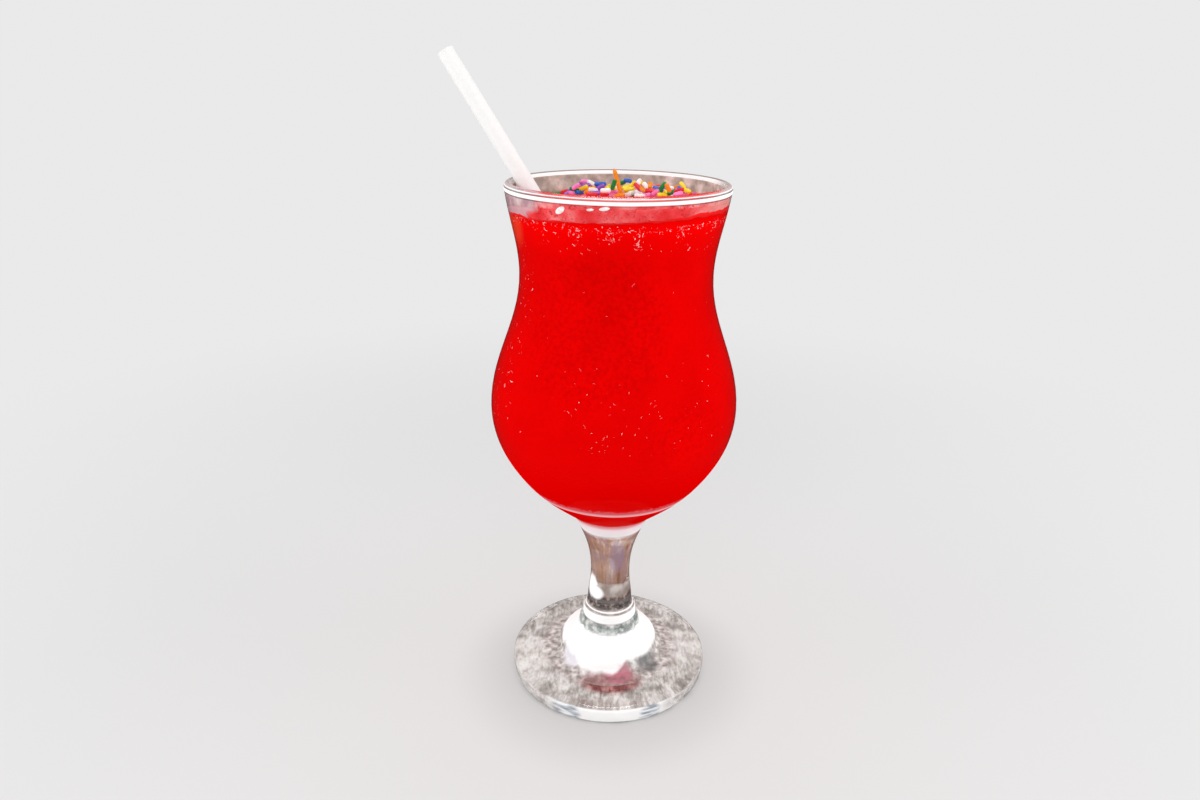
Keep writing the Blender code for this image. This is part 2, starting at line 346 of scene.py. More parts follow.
def stem_layers(height, ragged_height, back, blots, wide):
    """Painted in front of the neck: a grey-white reflection, then dark mottled shade, over the knuckle's
    two bright rings of painted highlight.
    """
    front_half = ease(back, 4, 1)
    clouds = blend_colours(wide, (0.36, "#766C66"), (0.5, "#9C948F"), (0.62, "#CFCAC8"))
    dark = blend_colours(blots, (0.38, "#281A17"), (0.52, "#4E3B38"), (0.66, "#9A8C86"))
    return (
        # A painted grey-white reflection on the neck, then painted dark shade under it, in front.
        (times(band(ragged_height, *NECK_REFLECTED_CLOUD, 1.0), front_half), 0.7, clouds),
        (times(band(height, *SHADOWED_NECK, 0.7), front_half), 0.85, dark),
        # The knuckle's two painted white highlights.
        (band(height, *THIN_RING_HIGHLIGHT, 0.12), 0.9, "#FFFFFF"),
        (band(height, *KNUCKLE_RING_HIGHLIGHT, 0.3), 0.9, "#FFFFFF"),
    )


def foot_layers(place, height, from_axis, back, blots, wide):
    """All painted light, shade and reflection: the dome is a painted white highlight with an uneven lower
    edge and a tongue that hangs down its front, under a painted green-grey reflection in the groove. Its
    flank has painted mottled reflections, lighter at the left and darker at the right, with wine and rose in
    front, and the foot's side has painted blue reflections with two white glints."""
    # The flank's painted mottled reflections: painted light at the left, painted shade at the right, wine
    # and rose in front.
    flank = times(band(height, *DOME_FLANK, 0.6), ease(from_axis, 30.0, 24.5))
    flank_reflections = blend_colours(blots, (0.36, "#8A827E"), (0.5, "#B8B0AC"), (0.66, "#E8E4E2"))
    for where, tone in ((FLANK_LIGHT, "#F2F0FA"), (FLANK_SHADE, "#4C4C4E")):
        flank_reflections = mix(times(spot(place, *where), 0.75), flank_reflections, tone)
    wine = blend_colours(blots, (0.36, "#6A4040"), (0.5, "#8A5856"), (0.64, "#A67C7A"))
    flank_reflections = mix(spot(place, *FLANK_WINE_REFLECTION), flank_reflections, wine)
    rosy = times(spot(place, *FLANK_ROSE_REFLECTION), ease(blots, 0.36, 0.56, 0.5, 1.0))
    flank_reflections = mix(times(rosy, 0.85), flank_reflections, "#B86478")
    # The dome's painted white highlight, with its tongue hanging down the front.
    tongue = spot(place, *DOME_HIGHLIGHT_TONGUE)
    over_flank = plus(ragged(height, wide, 5.0), times(tongue, 4.2))
    dome = times(ease(over_flank, *DOME_HIGHLIGHT_STARTS), ease(height, *DOME_HIGHLIGHT_ENDS))
    # A painted green-grey reflection in the groove under the knuckle.
    groove = times(ease(ragged(height, blots, 3.4), *GROOVE_STARTS), ease(height, *GROOVE_ENDS))
    groove_reflection = blend_colours(blots, (0.36, "#66706E"), (0.5, "#9CA5A2"), (0.62, "#D8DCDA"))
    # Painted blue reflections along the foot's side, with two painted white glints.
    along = stretched_noise(place, SIDE_STREAK, Detail=2.0)
    blue = blend_colours(along, (0.36, "#8E98A3"), (0.5, "#C8CFD6"), (0.62, "#F6F8FA"))
    side_tone = mix(larger(*[spot(place, *glint) for glint in SIDE_GLINTS]), "#FFFFFF", blue)
    side = times(band(height, *FOOT_SIDE, 0.3), ease(from_axis, *FOOT_SIDE_RADIUS))
    return (
        (flank, 0.85, flank_reflections),
        (times(dome, larger(ease(from_axis, 20.5, 19.0), tongue)), 0.92, "#FFFFFF"),
        (groove, 0.85, groove_reflection),
        (side, ease(back, -28, -35.5, 0.12, 0.85), side_tone),
    )


def clear_glass():
    """Soda-lime glass, IOR 1.5: clear, with painted warm and lilac reflections of the room streaked down the
    stem.
    The highlights, shade and reflections that its pressed shapes catch are painted on it in soft layers of
    matt colour, which reflections and lamps pass by."""
    made, place, axes = new_material("pressed_soda_lime_glass")
    height, back = axes["Z"], axes["Y"]
    to_side = add_node("Math", (axes["X"],), operation="ABSOLUTE")
    from_axis = distance_from_axis(place)
    blots, wide, torn = [
        add_node("TexNoise", {"Vector": place, "Scale": 1 / grain, "Detail": detail})
        for grain, detail in ((BLOTS, 4.0), (WIDE_BLOTS, 3.0), (TORN_EDGE, 3.0))
    ]
    # The stem's warm and lilac streaks, darker brown low down, are painted reflections of the room in its
    # see-through colour.
    painted_room_tint = blend_colours(
        stretched_noise(place, STEM_STREAK, Detail=4.0),
        (0.34, "#8A5E46"), (0.44, "#C8967A"), (0.52, "#B2929A"), (0.58, "#D0AA90"), (0.68, "#FCF2EC"),
    )
    painted_room_tint = mix(times(spot(place, *LILAC_REFLECTION), 0.75), painted_room_tint, "#9C88AC")
    painted_room_tint = mix(ease(height, 44, 38, 0.0, 0.6), painted_room_tint, "#94705C")
    ragged_height = ragged(height, blots, 2.0)
    glass = add_node("BsdfPrincipled", {
        "Base Color": mix(band(ragged_height, *STEM, 0.6), "#FBFDFC", painted_room_tint),
        "Roughness": 0.0,
        "IOR": 1.5,
        "Transmission Weight": 1.0,
    })
    share, colour = 0.0, "#FFFFFF"
    for mask, strength, tone in (
        *rim_layers(height, from_axis, to_side, back),
        *bowl_layers(height, torn),
        *stem_layers(height, ragged_height, back, blots, wide),
        *foot_layers(place, height, from_axis, back, blots, wide),
        # Painted white highlights on the left of the neck.
        (larger(*[spot(place, *glint) for glint in NECK_GLINTS]), 0.95, "#FFFFFF"),
    ):
        share, colour = lay_over(share, colour, times(mask, strength), tone)
    path = add_node("LightPath", tree=made.node_tree).node.outputs
    not_mirrored = add_node("Math", (1.0, path["Is Reflection Ray"]), operation="SUBTRACT")
    # The painted light, shade and reflections, as a matt layer over the clear glass.
    painted_light_and_shade = add_node("BsdfDiffuse", (colour,))
    caught = add_node("MixShader", (times(share, not_mirrored), glass, painted_light_and_shade))
    clear = add_node("BsdfTransparent", ("#F4F6F5",), tree=made.node_tree)
    lamps = larger(path["Is Shadow Ray"], path["Is Diffuse Ray"])
    return surface(made, add_node("MixShader", (lamps, caught, clear)))


def painted_underside():
    """The underside of the foot, which shows through the glass, painted with what the clear foot shows
    there: painted light under the knuckle, a painted refraction of the mottled grey and brown surface it
    stood on, like stone, out to the edge, paler at the sides, and wine-red and rose reflections at the
    front."""
    made, place, _ = new_material("underside_painted_reflections")
    fine = stretched_noise(place, STONE_GRAIN, Detail=4.0, Roughness=0.6)
    broad = add_node("TexNoise", {"Vector": place, "Scale": 1 / STONE_CLOUDS, "Detail": 3.0})
    grain = mix(0.5, fine, broad)
    stone = blend_colours(grain, (0.37, "#89817D"), (0.45, "#A8A09C"), (0.52, "#CAC4C1"), (0.61, "#EAE7E5"))
    pale = blend_colours(grain, (0.4, "#C4BCB8"), (0.5, "#E6E1DE"), (0.6, "#F8F6F5"))
    wine = blend_colours(grain, (0.4, "#54282A"), (0.5, "#8A4646"), (0.6, "#C08E8C"))
    # Painted refraction of the mottled surface below the foot, paler at the sides.
    sides = larger(*[spot(place, *where) for where in PALE_BASE_REFLECTIONS])
    colour = mix(times(sides, 0.8), stone, pale)
    colour = mix(spot(place, *BASE_WINE_REFLECTION), colour, wine)
    # Painted light under the knuckle, so that the dome shows white.
    colour = mix(spot(place, *BASE_PAINTED_LIGHT), colour, "#FCFDFD")
    colour = mix(times(spot(place, *BASE_ROSE_REFLECTION), 0.8), colour, "#C26A7E")
    base = add_node("BsdfPrincipled", {"Base Color": colour, "Roughness": 0.7, "Specular IOR Level": 0.1})
    return surface(made, base)


glass = spin_solid(
    draw_outline("cocktail_glass", (INSIDE + BOWL_AND_STEM[1:], KNUCKLE_AND_FOOT + UNDERSIDE[1:])),
    LATHE_STEPS,
)
glass.data.materials.append(clear_glass())
glass.data.materials.append(painted_underside())
for face in glass.data.polygons:
    if max(glass.data.vertices[i].co.z for i in face.vertices) < UNDERSIDE_TOP * MM and face.normal.z < -0.5:
        face.material_index = 1
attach(glass, "root")
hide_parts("glass")

# The drink: strawberries, ice and syrup blended to a wet, opaque red slush. It fills the bowl up to
# the froth and reaches just into the glass, so that no air shows between them.
INTO_WALL = 0.35
DRINK_LEVEL = 184.35
LEVEL_SWING = 0.75
LEVEL_REACH = 35.0
LEVEL_RISE_TO_RIGHT = 0.075
LEVEL_WAVE = 0.8
WAVE_LENGTH = 5.0
DRINK_TURNS = 160
CLOSE = 0.01
ICE_GRAIN = 1.5
SLUSH_CLOUDS = 22.0
PAINTED_SLUSH_SHADES = ((-8.0, -34.0, 152.0), (30.0, 26.0, 32.0)), ((24.0, -36.0, 106.0), (22.0, 24.0, 26.0))
PAINTED_SLUSH_HIGHLIGHT = (-37.0, -13.0, 180.0), (9.0, 12.0, 12.0)


def curve_points(knots, steps=12):
    """Points (radius, height) along one run of knots."""
    points = [Vector(knots[0][:2])]
    for start, end in zip(knots, knots[1:]):
        a, b = Vector(start[:2]), Vector(end[:2])
        reach = (b - a).length * HANDLE
        handles = a + heading(start[2]) * reach, b - heading(end[2]) * reach
        points += [Vector(p[:2]) for p in interpolate_bezier(a, *handles, b, steps + 1)[1:]]
    return points


INSIDE_LINE = curve_points(INSIDE)


def wall_radius(height):
    """Inner radius of the bowl at a height."""
    for low, high in zip(INSIDE_LINE, INSIDE_LINE[1:]):
        if low.y <= height <= high.y:
            return low.x + (high.x - low.x) * (height - low.y) / (high.y - low.y)
    raise ValueError(height)


def drink_top(x, y):
    """Height where the red drink ends at a place on the plan, and the froth begins."""
    wave = LEVEL_WAVE * noise.noise(Vector((x, y, 0.0)) / WAVE_LENGTH)
    swing = LEVEL_SWING * (y * y - x * x) / LEVEL_REACH**2
    return DRINK_LEVEL + swing + LEVEL_RISE_TO_RIGHT * max(x, 0.0) + wave


def polyline(name, points):
    """A mesh line through (radius, height) points, as the active object."""
    bpy.ops.mesh.primitive_plane_add()
    line = bpy.context.object
    line.name = name
    bpy.ops.object.mode_set(mode="EDIT")
    bpy.ops.mesh.delete(type="VERT")
    bpy.ops.object.mode_set(mode="OBJECT")
    edges = [(i, i + 1) for i in range(len(points) - 1)]
    line.data.from_pydata([(p.x * MM, 0, p.y * MM) for p in points], edges, [])
    return line


def wall_line(low, high, outwards):
    """Points along the inner wall between two heights, moved outwards by a distance."""
    line = []
    for before, here, after in zip(INSIDE_LINE, INSIDE_LINE[1:], INSIDE_LINE[2:]):
        along = (after - before).normalized()
        if low < here.y < high:
            line.append(here + Vector((along.y, -along.x)) * outwards)
    return line


def just_in_wall(x, y, z):
    """The place, in metres, moved out or in until it lies just inside the glass."""
    reach = (wall_radius(z) + INTO_WALL) / math.hypot(x, y)
    return Vector((x * reach, y * reach, z)) * MM


def make_drink():
    wall = wall_line(INSIDE_LINE[0].y, DRINK_LEVEL - LEVEL_SWING - 1.5, INTO_WALL)
    edge = wall_radius(DRINK_LEVEL) + INTO_WALL
    top = [Vector((edge * i / 16, DRINK_LEVEL)) for i in range(17)]
    line = polyline("red_slush_drink", top + wall[::-1] + [Vector((0, INSIDE_LINE[0].y - INTO_WALL))])
    body = spin_solid(line, DRINK_TURNS)
    for v in body.data.vertices:
        x, y, z = v.co / MM
        if z > DRINK_LEVEL - CLOSE:
            at_edge = math.hypot(x, y) > edge - CLOSE
            top = drink_top(x, y)
            v.co = just_in_wall(x, y, top) if at_edge else Vector((x, y, top)) * MM
    return body


def slush_finish():
    """Wet strawberry slush: deep red and softly clouded, with painted shade, broken up by the ice grains, in
    two patches at the front, painted light at its top and bottom, and a painted orange highlight at the left
    edge."""
    made, place, axes = new_material("blended_strawberry_slush")
    grain = add_node("TexNoise", {"Vector": place, "Scale": 1 / ICE_GRAIN, "Detail": 3.0})
    cloud = add_node("TexNoise", {"Vector": place, "Scale": 1 / SLUSH_CLOUDS, "Detail": 2.0})
    red = blend_colours(cloud, (0.3, "#E20000"), (0.5, "#EA0000"), (0.7, "#F20000"))
    # Painted shade, broken up by ice grains, in two patches at the front.
    shaded_patches = larger(*[spot(place, *where) for where in PAINTED_SLUSH_SHADES])
    share = times(ease(grain, 0.35, 0.7), ease(shaded_patches, 0.0, 1.0, 0.12, 0.44))
    red = mix(share, red, "#C40000")
    # Painted light at the top of the slush, and at its lower part.
    red = mix(ease(axes["Z"], 170, 183, 0.0, 0.8), red, "#FF0000")
    red = mix(ease(axes["Z"], 125, 95, 0.0, 0.8), red, "#FA0000")
    # A painted orange highlight at the left edge of the slush.
    red = mix(times(spot(place, *PAINTED_SLUSH_HIGHLIGHT), 0.55), red, "#FF5030")
    slush = add_node("BsdfPrincipled", {"Base Color": red, "Roughness": 0.45, "Specular IOR Level": 0.0})
    return surface(made, slush)


drink = make_drink()
drink.data.materials.append(slush_finish())
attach(drink, "root")
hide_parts("daiquiri")

# The ice chips: crushed grains and clustered bubbles that lie against the glass, thick just under
# the froth, then down the left wall, and a few in the belly. One chip is shaped and copied.
CHIP_SEED = 5
CHIP_SIZES = (0.08, 0.3)
PALE_CHIP_SHARE = 0.3
CHIP_ROWS = (1, 1, 2, 3, 4)
CHIP_STEP = 1.5
CHIP_SINK = 0.03
HIGHEST_CHIP = 184.2
CHIP_CLUSTERS = (
    (0, 360, 182.6, 184.6, 420),
    (0, 360, 175.0, 183.4, 300),
    (244, 252, 178.0, 183.0, 26),
    (262, 272, 179.5, 183.6, 40),
    (278, 283, 177.0, 183.0, 22),
    (300, 306, 179.0, 184.5, 26),
    (325, 332, 181.0, 186.0, 22),
    (165, 215, 112.0, 176.0, 300),
    (245, 320, 112.0, 140.0, 130),
    (0, 360, 90.0, 172.0, 160),
)


def chip_template():
    bpy.ops.mesh.primitive_ico_sphere_add(subdivisions=1, radius=1.0)
    chip = bpy.context.object
    bpy.ops.object.mode_set(mode="EDIT")
    bpy.ops.transform.resize(value=(1.0, 0.62, 0.5))
    bpy.ops.object.mode_set(mode="OBJECT")
    bpy.ops.object.shade_smooth()
    bpy.ops.object.select_all(action="DESELECT")
    return chip


def set_copy(template, matrix, owner):
    """A copy of the template, with its own mesh, placed in its mesh; owner lists the copies."""
    copy = template.copy()
    copy.data = template.data.copy()
    copy.data.transform(matrix)
    bpy.context.collection.objects.link(copy)
    owner.append(copy)


def join_copies(name, copies):
    bpy.ops.object.select_all(action="DESELECT")
    for copy in copies:
        copy.select_set(True)
    bpy.context.view_layer.objects.active = copies[0]
    bpy.ops.object.join()
    joined = bpy.context.object
    joined.name = name
    bpy.ops.object.select_all(action="DESELECT")
    return joined


def scatter_chips():
    """Short crooked rows of mostly fine chips on the drink's side. CHIP_CLUSTERS gives each cluster's
    first and last turn in degrees, its lowest and highest place, and its number of rows."""
    draw = random.Random(CHIP_SEED)
    template = chip_template()
    pale, pink = [], []
    for first_turn, last_turn, low, high, count in CHIP_CLUSTERS:
        for _ in range(count):
            turn = draw.uniform(first_turn, last_turn)
            height = draw.uniform(low, high)
            kind = pale if draw.random() < PALE_CHIP_SHARE else pink
            step = draw.uniform(0, math.tau)
            finest, coarsest = CHIP_SIZES
            size = (finest + (coarsest - finest) * draw.random() ** 2) * (1.0 if high > 175 else 0.85)
            for _ in range(draw.choice(CHIP_ROWS)):
                radius = wall_radius(height) + INTO_WALL
                out = Vector((math.cos(math.radians(turn)), math.sin(math.radians(turn)), 0))
                middle = (out * (radius - CHIP_SINK) + Vector((0, 0, height))) * MM
                chip = size * draw.uniform(0.7, 1.2)
                lie = out.to_track_quat("Z", "Y").to_matrix().to_4x4() @ Matrix.Rotation(step, 4, "Z")
                set_copy(template, Matrix.Translation(middle) @ lie @ Matrix.Scale(chip * MM, 4), kind)
                step += draw.uniform(-1.0, 1.0)
                turn += math.degrees(CHIP_STEP * size * math.cos(step) / radius)
                height = min(height + CHIP_STEP * size * math.sin(step), HIGHEST_CHIP)
    bpy.data.objects.remove(template)
    return join_copies("pale_ice_chips", pale), join_copies("pink_ice_chips", pink)


def mottled_finish(name, grain, stops, shine, detail=2.0):
    """A material mottled through the stops' colours in grains of a size, with the inputs of its shine."""
    made, place, _ = new_material(name)
    mottle = add_node("TexNoise", {"Vector": place, "Scale": 1 / grain, "Detail": detail})
    colour = blend_colours(mottle, *stops)
    return surface(made, add_node("BsdfPrincipled", {"Base Color": colour, **shine}))


def chip_finish(name, dark, light):
    """Wet crushed ice in syrup: pale pink, more or less stained."""
    wet = {"Roughness": 0.4, "Specular IOR Level": 0.0}
    return mottled_finish(name, 1.5, ((0.35, dark), (0.65, light)), wet)


pale_chips, pink_chips = scatter_chips()
pale_chips.data.materials.append(chip_finish("pale_crushed_ice", "#FFA0A4", "#FFE8E8"))
pink_chips.data.materials.append(chip_finish("stained_crushed_ice", "#F8343C", "#FF8288"))
for chips in (pale_chips, pink_chips):
    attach(chips, "root")
    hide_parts("daiquiri")

# The froth: pale pink foam that the blender left on the drink, thick at the front of the glass,
# thin round the straw, and heaped in the middle under the sprinkles.
FROTH_LEVEL = 187.4
FROTH_RISE_TO_FRONT = 0.062
FROTH_RISE_TO_RIGHT = 0.02
LEAST_FROTH = 1.2
MOUND_CENTRE = (5.0, 2.0)
MOUND_HEIGHT = 3.1
MOUND_RADIUS = 20.0
STRAW_DIP = 1.2
STRAW_DIP_RADIUS = 13.0
STRAW_AT_RIM = (-32.0, 3.3, 193.5)
FOAM_PEAKS = (
    (-18.5, 5.0, 1.7, 2.4), (-14.5, 8.0, 2.4, 2.6), (-10.0, 9.0, 2.2, 2.8), (-6.0, 6.0, 1.3, 2.4),
    (-13.0, 1.5, 1.0, 2.4), (-8.5, -3.0, 0.9, 2.2), (12.5, 8.0, 1.0, 2.6), (18.0, 8.0, 1.2, 2.6),
    (23.0, 6.0, 1.0, 2.6), (15.0, 1.0, 0.8, 2.2), (21.0, 0.0, 0.8, 2.2),
)
FROTH_RINGS, FROTH_TURNS = 80, 224
FROTH_INTO_DRINK = 0.05
FOAM_LUMP, FOAM_PIT, FOAM_PIT_DEPTH = 2.2, 1.3, 0.44
RELIEF_REACH, RELIEF_FADE = 24.0, 1.5
WEDGE_SLOPE = 0.85
WEDGE_AT = (-21.3, 188.5)
REDDER_FOAM = (3.0, -36.0, 187.5), (24.0, 14.0, 7.0)
RED_LINE = (185.0, 187.6)
FOAM_CLOUDS, PULP_GRAIN, FOAM_CELLS = 5.5, 1.2, 1.1


def froth_top(x, y):
    """Height of the froth's own top, with the mound that carries the sprinkles and its small peaks."""
    height = FROTH_LEVEL - FROTH_RISE_TO_FRONT * y + FROTH_RISE_TO_RIGHT * x
    from_mound = math.hypot(x - MOUND_CENTRE[0], y - MOUND_CENTRE[1])
    height += MOUND_HEIGHT * math.exp(-((from_mound / MOUND_RADIUS) ** 4))
    for peak_x, peak_y, rise, reach in FOAM_PEAKS:
        height += rise * math.exp(-((math.hypot(x - peak_x, y - peak_y) / reach) ** 2))
    from_straw = math.hypot(x - STRAW_AT_RIM[0], y - STRAW_AT_RIM[1])
    height -= STRAW_DIP * math.exp(-((from_straw / STRAW_DIP_RADIUS) ** 2))
    return max(height, drink_top(x, y) + LEAST_FROTH)


def froth_relief(x, y):
    """Fine lumps and burst bubbles of the foam, in millimetres."""
    here = Vector((x, y, 0.0))
    on_mound = math.exp(-((math.hypot(x - MOUND_CENTRE[0], y - MOUND_CENTRE[1]) / RELIEF_REACH) ** 6))
    lumps = noise.fractal(here / FOAM_LUMP, 1.0, 2.0, 4) * (0.5 + 0.7 * on_mound)
    pits = noise.voronoi(here / FOAM_PIT)[0][0]
    return lumps - FOAM_PIT_DEPTH * max(0.0, 0.45 - pits)


def make_froth():
    edge = wall_radius(FROTH_LEVEL) + INTO_WALL
    upper = [Vector((edge * i / FROTH_RINGS, FROTH_LEVEL)) for i in range(FROTH_RINGS + 1)]
    side = [Vector((edge, FROTH_LEVEL - t)) for t in (0.75, 1.5, 2.25)]
    lower = [Vector((edge * i / 10, DRINK_LEVEL)) for i in range(10, -1, -1)]
    foam = spin_solid(polyline("pink_froth", upper + side + lower), FROTH_TURNS)
    for v in foam.data.vertices:
        x, y, z = v.co / MM
        out = math.hypot(x, y)
        low, high = drink_top(x, y) - FROTH_INTO_DRINK, froth_top(x, y)
        if z > FROTH_LEVEL - CLOSE:
            z = high + froth_relief(x, y) * min(1.0, (edge - out) / RELIEF_FADE)
        elif z < DRINK_LEVEL + CLOSE:
            z = low
        else:
            z = low + (high - low) * (z - DRINK_LEVEL) / (FROTH_LEVEL - DRINK_LEVEL)
        v.co = just_in_wall(x, y, z) if out > edge - CLOSE else Vector((x, y, z)) * MM
    return foam


def left_wedge(axes, cloud):
    """1 in the wedge by the straw where the foam is watery, with a slanted and wandering edge."""
    level = plus(axes["X"], times(axes["Z"], -WEDGE_SLOPE))
    middle = WEDGE_AT[0] - WEDGE_SLOPE * WEDGE_AT[1]
    return ease(ragged(level, cloud, 9.0), middle + 1.2, middle - 1.2)


def wall_tints(place, axes, cloud, colour):
    """The foam's colour against the glass at the front: redder in the middle, paler at the right,
    and red below the wavy line up to which the drink shows through it."""
    colour = mix(times(spot(place, *REDDER_FOAM), 0.35), colour, "#EA2026")
    colour = mix(ease(axes["X"], 18, 34, 0.0, 0.75), colour, "#F8A8A4")
    line = ease(axes["X"], -10, 33, *RED_LINE)
    under = add_node("Math", (line, axes["Z"]), operation="SUBTRACT")
    below = ease(ragged(under, cloud, 2.4), 1.1, 1.3)
    return mix(times(below, ease(axes["Y"], 0, -12)), colour, "#FF0000")


def foam_noises(place, roughness):
    """The foam's clouds, and the spots of pulp between its bubbles."""
    cloud = add_node("TexNoise", {"Vector": place, "Scale": 1 / FOAM_CLOUDS, "Detail": 5.0})
    pulp = add_node("TexNoise", {
        "Vector": place, "Scale": 1 / PULP_GRAIN, "Detail": 3.0, "Roughness": roughness, "Distortion": 1.2,
    })
    return cloud, pulp


def froth_finish():
    """Foam of blended strawberry: coral pink, with red spots of pulp between its bubbles, a watery
    lilac grey by the straw, and paler on top than against the glass."""
    made, place, axes = new_material("strawberry_foam")
    cloud, pulp = foam_noises(place, 0.7)
    colour = blend_colours(cloud, (0.34, "#EA181E"), (0.47, "#F43A40"), (0.58, "#FC5A5E"), (0.7, "#FF8A8C"))
    colour = mix(times(ease(pulp, 0.57, 0.63), 0.85), colour, "#B8141C")
    by_straw = times(left_wedge(axes, cloud), ease(axes["Y"], 4, -4))
    colour = mix(times(by_straw, 0.85), colour, "#D8AEB6")
    against_glass = wall_tints(place, axes, cloud, colour)
    at_wall = ease(distance_from_axis(place), 33.8, 34.6)
    cells = add_node("TexVoronoi", {"Vector": place, "Scale": 1 / FOAM_CELLS})
    foam = add_node("BsdfPrincipled", {
        "Base Color": mix(at_wall, mix(0.5, colour, "#F8989A"), against_glass),
        "Roughness": 0.55,
        "Normal": add_node("Bump", {"Height": cells, "Strength": 0.4, "Distance": 0.4 * MM}),
        "Specular IOR Level": 0.3,
    })
    return surface(made, foam)


froth = make_froth()
froth.data.materials.append(froth_finish())
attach(froth, "root")
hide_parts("froth")

# The film: foam that clung to the inner wall above the froth as the drink was poured. It is a skin
# a tenth of a millimetre thick that thins to nothing in runs, greyer at the back than at the front.
FILM_BOTTOM = 184.2
FILM_TOP = 192.2
FILM_TOP_AT_FRONT = 191.3
FILM_INTO_WALL = 0.05
FILM_INTO_BOWL = 0.1
FILM_RUNS = (4.0, 4.0, 4.5)


def make_film():
    outer = wall_line(FILM_BOTTOM, FILM_TOP, FILM_INTO_WALL)
    inner = wall_line(FILM_BOTTOM, FILM_TOP, -FILM_INTO_BOWL)
    return spin_solid(polyline("foam_film", outer + inner[::-1] + outer[:1]), LATHE_STEPS)


def film_finish():
    """Wet foam on glass: half see-through and warm grey behind, coral at the front where it meets
    the froth, lilac grey at the left by the straw. It thins out upwards in fine runs."""
    made, place, axes = new_material("foam_residue")
    runs = stretched_noise(place, FILM_RUNS, Detail=5.0)
    behind = blend_colours(runs, (0.34, "#A09A8F"), (0.5, "#BAB3A8"), (0.72, "#E6DFD8"))
    front = blend_colours(runs, (0.36, "#EE4248"), (0.5, "#F96C70"), (0.66, "#FFA4A4"))
    lilac = blend_colours(runs, (0.36, "#CC9EA8"), (0.5, "#DAB4B8"), (0.66, "#ECD4D4"))
    cloud, pulp = foam_noises(place, 0.5)
    front = mix(times(ease(pulp, 0.58, 0.64), 0.8), front, "#B8141C")
    front = wall_tints(place, axes, cloud, front)
    to_front = ease(axes["Y"], 0, -14)
    colour = mix(to_front, behind, front)
    colour = mix(times(left_wedge(axes, cloud), ease(axes["Y"], 6, -2)), colour, lilac)
    top = ease(to_front, 0.0, 1.0, FILM_TOP, FILM_TOP_AT_FRONT)
    over = add_node("Math", (axes["Z"], top), operation="SUBTRACT")
    cover = times(ease(runs, 0.2, 0.6, 0.7, 0.98), ease(ragged(over, runs, 1.2), 0.7, 0.2))
    foam = add_node("BsdfPrincipled", {"Base Color": colour, "Roughness": 0.5, "Specular IOR Level": 0.2})
    clear = add_node("BsdfTransparent", tree=made.node_tree)
    return surface(made, add_node("MixShader", (cover, clear, foam)))


film = make_film()
film.data.materials.append(film_finish())
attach(film, "root")
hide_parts("froth")

# The highlights on the rim's inner curve at the front: flat white blobs pressed against the glass stand in
# for them as painted highlights. Each lies where the photograph has it, on the inner wall, reaching just
# into the glass.
CAMERA_PLACE = (-5.0, -297.0, 229.0)
CAMERA_PITCH = 21.0
CAMERA_ROLL = 0.85
PHOTO_FOCAL = 866.0
PHOTO_CENTRE = (600, 400)
SEEN_HIGHLIGHTS = ((562.0, 209.4, 1.8, 0.95, 32), (591.0, 209.0, 1.1, 0.4, 5), (604.8, 208.2, 1.6, 0.6, 8))
HIGHLIGHT_DEPTH = 0.22
WALL_IN_SIGHT = (240.0, 340.0, 0.05)


def camera_turn():
    pitch = Matrix.Rotation(math.radians(90 - CAMERA_PITCH), 3, "X")
    return pitch @ Matrix.Rotation(math.radians(CAMERA_ROLL), 3, "Z")


def points_in_sight(across, down, near, far, step):
    """Points behind a pixel of the photograph, from a near to a far distance from the camera."""
    seen = Vector((across - PHOTO_CENTRE[0], PHOTO_CENTRE[1] - down, -PHOTO_FOCAL))
    sight = (camera_turn() @ seen).normalized()
    return [Vector(CAMERA_PLACE) + sight * (near + i * step) for i in range(round((far - near) / step))]


def place_on_wall(across, down):
    """Where the line of sight through a pixel meets the inner wall at the front."""
    points = points_in_sight(across, down, *WALL_IN_SIGHT)
    return next(p for p in points if 150 < p.z < 191 and p.xy.length < wall_radius(p.z))


def make_highlight_blobs():
    copies = []
    bpy.ops.mesh.primitive_uv_sphere_add(segments=24, ring_count=12, radius=1.0)
    template = bpy.context.object
    bpy.ops.object.shade_smooth()
    for across, down, half_width, half_height, slant in SEEN_HIGHLIGHTS:
        middle = place_on_wall(across, down)
        outwards = Vector((middle.x, middle.y, 0)).normalized()
        middle += outwards * INTO_WALL
        lie = outwards.to_track_quat("Z", "Y").to_matrix().to_4x4()
        lie = lie @ Matrix.Rotation(math.radians(slant), 4, "Z")
        size = Matrix.Diagonal((half_width, half_height, HIGHLIGHT_DEPTH, 1))
        set_copy(template, Matrix.Scale(MM, 4) @ Matrix.Translation(middle) @ lie @ size, copies)
    bpy.data.objects.remove(template)
    return join_copies("painted_highlight_blobs", copies)


def highlight_finish():
    """Nearly white and pearly, for the painted highlights."""
    return mottled_finish("pearly_white_highlight", 1.0, ((0.35, "#FFDCDC"), (0.6, "#FFFFFF")), {"Roughness": 0.3})


# Flat white blobs that stand in for highlights on the rim's inner curve.
bubbles = make_highlight_blobs()
bubbles.data.materials.append(highlight_finish())
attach(bubbles, "root")
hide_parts("froth")

